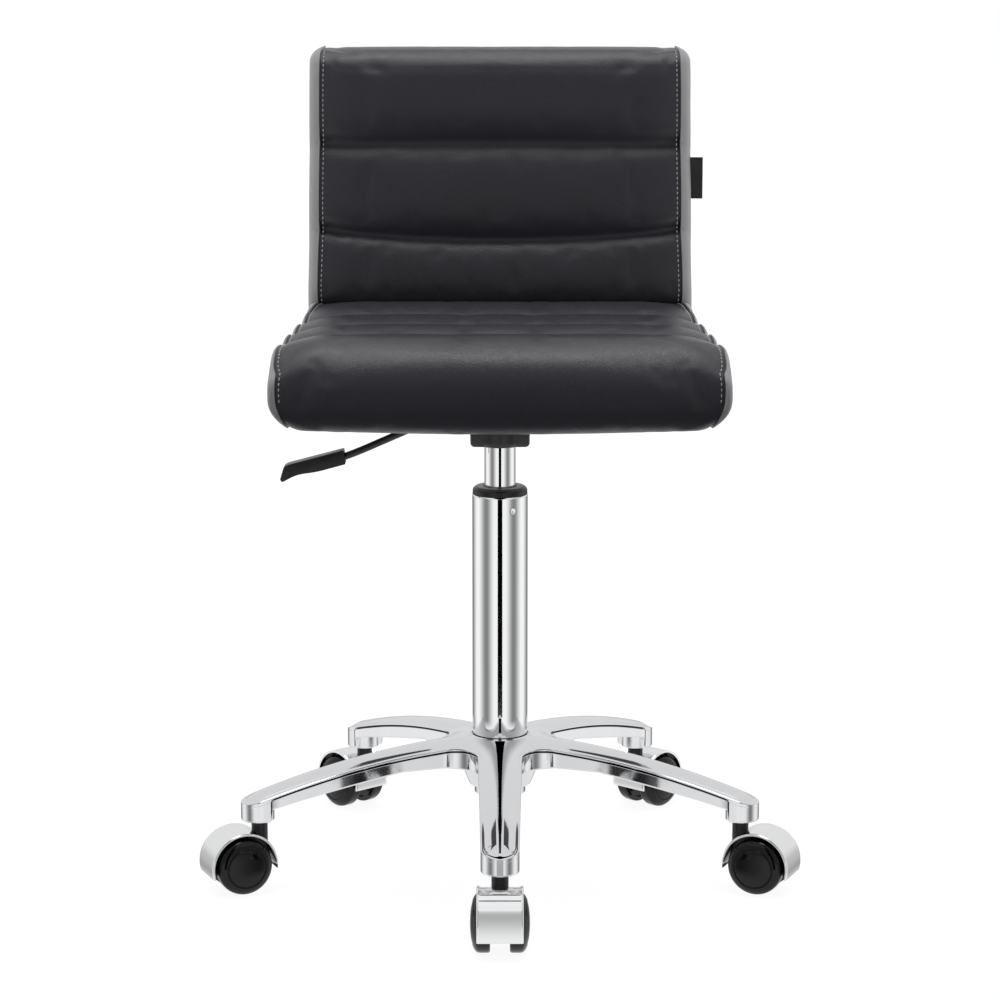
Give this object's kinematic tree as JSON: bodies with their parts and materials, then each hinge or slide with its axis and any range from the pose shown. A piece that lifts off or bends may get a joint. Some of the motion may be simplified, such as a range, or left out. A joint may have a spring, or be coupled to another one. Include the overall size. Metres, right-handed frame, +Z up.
{
  "type": "rolling stylist stool",
  "caption": "Salon stool with a channelled L-shaped upholstered seat and backrest, gas-lift column, release lever and a star base on swivelling twin-wheel casters.",
  "frame": {"origin": "bottom centre of the bounding box, on the floor under the footprint's middle", "axes": "+Z up along the column, the sitter faces -Y, +X to the viewer's right from the front"},
  "size_m": [0.536, 0.508, 0.7352],
  "materials": {
    "chrome": "bright mirror chrome",
    "polished_aluminium": "polished cast aluminium, bright satin",
    "steel": "plain machined steel",
    "black_plastic": "black, semi-gloss",
    "glossy_wheel": "glossy black nylon",
    "black_painted_steel": "satin black",
    "rubber": "matt",
    "black_vinyl": "soft grained artificial leather, satin",
    "grey_vinyl": "soft grained artificial leather, satin grey",
    "foam": "open-cell upholstery foam",
    "plywood": "bent beech plywood",
    "tag_fabric": "woven black tag, blank"
  },
  "bodies": {
    "base": {"star_base": "polished_aluminium", "column_tube": "chrome", "guide_bushing": "black_plastic", "thrust_bearing": "steel", "rubber_bumper": "rubber"},
    "gas_rod": {"piston_rod": "steel", "retaining_clip": "steel"},
    "seat": {"gas_cylinder": "chrome", "mechanism_plate": "black_painted_steel", "mechanism_housing": "black_painted_steel", "lever_pivot_pin": "steel", "seat_bolt_1": "steel", "seat_bolt_2": "steel", "seat_bolt_3": "steel", "seat_bolt_4": "steel", "rear_cover": "black_vinyl", "plywood_shell": "plywood", "face_cover": "black_vinyl", "foam_core": "foam", "gusset_left": "grey_vinyl", "gusset_right": "grey_vinyl", "label_tag": "tag_fabric"},
    "lever": {"lever_rod": "black_painted_steel", "lever_grip": "black_plastic"},
    "release_pin": {"release_pin": "steel"},
    "caster_1": {"caster_1_stem": "steel", "caster_1_body": "black_plastic", "caster_1_hood": "chrome", "caster_1_axle": "steel"},
    "caster_1_wheel_left": {"caster_1_wheel_left": "glossy_wheel"},
    "caster_1_wheel_right": {"caster_1_wheel_right": "glossy_wheel"},
    "caster_2": {"caster_2_stem": "steel", "caster_2_body": "black_plastic", "caster_2_hood": "chrome", "caster_2_axle": "steel"},
    "caster_2_wheel_left": {"caster_2_wheel_left": "glossy_wheel"},
    "caster_2_wheel_right": {"caster_2_wheel_right": "glossy_wheel"},
    "caster_3": {"caster_3_stem": "steel", "caster_3_body": "black_plastic", "caster_3_hood": "chrome", "caster_3_axle": "steel"},
    "caster_3_wheel_left": {"caster_3_wheel_left": "glossy_wheel"},
    "caster_3_wheel_right": {"caster_3_wheel_right": "glossy_wheel"},
    "caster_4": {"caster_4_stem": "steel", "caster_4_body": "black_plastic", "caster_4_hood": "chrome", "caster_4_axle": "steel"},
    "caster_4_wheel_left": {"caster_4_wheel_left": "glossy_wheel"},
    "caster_4_wheel_right": {"caster_4_wheel_right": "glossy_wheel"},
    "caster_5": {"caster_5_stem": "steel", "caster_5_body": "black_plastic", "caster_5_hood": "chrome", "caster_5_axle": "steel"},
    "caster_5_wheel_left": {"caster_5_wheel_left": "glossy_wheel"},
    "caster_5_wheel_right": {"caster_5_wheel_right": "glossy_wheel"}
  },
  "joints": [
    {"name": "seat_swivel", "type": "hinge", "parent": "base", "child": "gas_rod", "pos_m": [0, 0.02145, 0.1], "axis": [0, 0, 1], "continuous": true},
    {"name": "seat_height", "type": "slide", "parent": "gas_rod", "child": "seat", "axis": [0, 0, 1], "range_m": [-0.032, 0.088]},
    {"name": "lever_lift", "type": "hinge", "parent": "seat", "child": "lever", "pos_m": [-0.018, 0.02145, 0.4165], "axis": [0, 1, 0], "range_deg": [0, 8], "stiffness_Nm_per_rad": 0.5},
    {"name": "release_pin_slide", "type": "slide", "parent": "seat", "child": "release_pin", "axis": [0, 0, 1], "range_m": [-0.0026, 0]},
    {"name": "caster_1_swivel", "type": "hinge", "parent": "base", "child": "caster_1", "pos_m": [0, -0.20355, 0.06], "axis": [0, 0, 1], "continuous": true},
    {"name": "caster_1_left_roll", "type": "hinge", "parent": "caster_1", "child": "caster_1_wheel_left", "pos_m": [0, -0.22355, 0.025], "axis": [1, 0, 0], "continuous": true},
    {"name": "caster_1_right_roll", "type": "hinge", "parent": "caster_1", "child": "caster_1_wheel_right", "pos_m": [0, -0.22355, 0.025], "axis": [1, 0, 0], "continuous": true},
    {"name": "caster_2_swivel", "type": "hinge", "parent": "base", "child": "caster_2", "pos_m": [0.21399, -0.04808, 0.06], "axis": [0, 0, 1], "continuous": true},
    {"name": "caster_2_left_roll", "type": "hinge", "parent": "caster_2", "child": "caster_2_wheel_left", "pos_m": [0.23226, -0.05622, 0.025], "axis": [0.4067, 0.9135, 0], "continuous": true},
    {"name": "caster_2_right_roll", "type": "hinge", "parent": "caster_2", "child": "caster_2_wheel_right", "pos_m": [0.23226, -0.05622, 0.025], "axis": [0.4067, 0.9135, 0], "continuous": true},
    {"name": "caster_3_swivel", "type": "hinge", "parent": "base", "child": "caster_3", "pos_m": [0.13225, 0.20348, 0.06], "axis": [0, 0, 1], "continuous": true},
    {"name": "caster_3_left_roll", "type": "hinge", "parent": "caster_3", "child": "caster_3_wheel_left", "pos_m": [0.14563, 0.21834, 0.025], "axis": [-0.7431, 0.6691, 0], "continuous": true},
    {"name": "caster_3_right_roll", "type": "hinge", "parent": "caster_3", "child": "caster_3_wheel_right", "pos_m": [0.14563, 0.21834, 0.025], "axis": [-0.7431, 0.6691, 0], "continuous": true},
    {"name": "caster_4_swivel", "type": "hinge", "parent": "base", "child": "caster_4", "pos_m": [-0.13225, 0.20348, 0.06], "axis": [0, 0, 1], "continuous": true},
    {"name": "caster_4_left_roll", "type": "hinge", "parent": "caster_4", "child": "caster_4_wheel_left", "pos_m": [-0.14563, 0.21834, 0.025], "axis": [-0.7431, -0.6691, 0], "continuous": true},
    {"name": "caster_4_right_roll", "type": "hinge", "parent": "caster_4", "child": "caster_4_wheel_right", "pos_m": [-0.14563, 0.21834, 0.025], "axis": [-0.7431, -0.6691, 0], "continuous": true},
    {"name": "caster_5_swivel", "type": "hinge", "parent": "base", "child": "caster_5", "pos_m": [-0.21399, -0.04808, 0.06], "axis": [0, 0, 1], "continuous": true},
    {"name": "caster_5_left_roll", "type": "hinge", "parent": "caster_5", "child": "caster_5_wheel_left", "pos_m": [-0.23226, -0.05622, 0.025], "axis": [0.4067, -0.9135, 0], "continuous": true},
    {"name": "caster_5_right_roll", "type": "hinge", "parent": "caster_5", "child": "caster_5_wheel_right", "pos_m": [-0.23226, -0.05622, 0.025], "axis": [0.4067, -0.9135, 0], "continuous": true}
  ],
  "couplings": [
    {"joint": "release_pin_slide", "follows": "lever_lift", "m_per_rad": -0.018}
  ]
}
